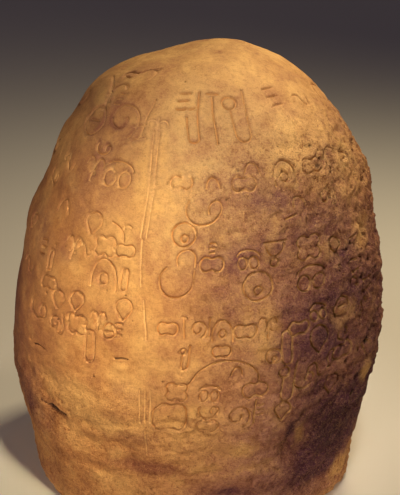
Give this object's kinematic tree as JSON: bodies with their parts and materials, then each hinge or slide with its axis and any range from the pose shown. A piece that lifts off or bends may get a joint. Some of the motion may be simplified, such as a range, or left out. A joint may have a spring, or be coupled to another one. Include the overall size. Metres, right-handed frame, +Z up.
{
  "type": "carved stone stele",
  "caption": "Egg-shaped inscribed stone stele that stands on its flat foot, with rows of incised marks and an incised staff between them.",
  "frame": {"origin": "middle of the flat foot, under the middle of the stone's bounding box", "axes": "+Z up; -Y is the front, the side with the incised staff; +X is to the right of someone who faces the front"},
  "size_m": [0.8432, 0.7442, 1.0006],
  "materials": {
    "andesite": "weathered matte stone, warm tan with darker brown patina and a fine grain"
  },
  "bodies": {
    "root": {"stele": "andesite"}
  },
  "joints": []
}
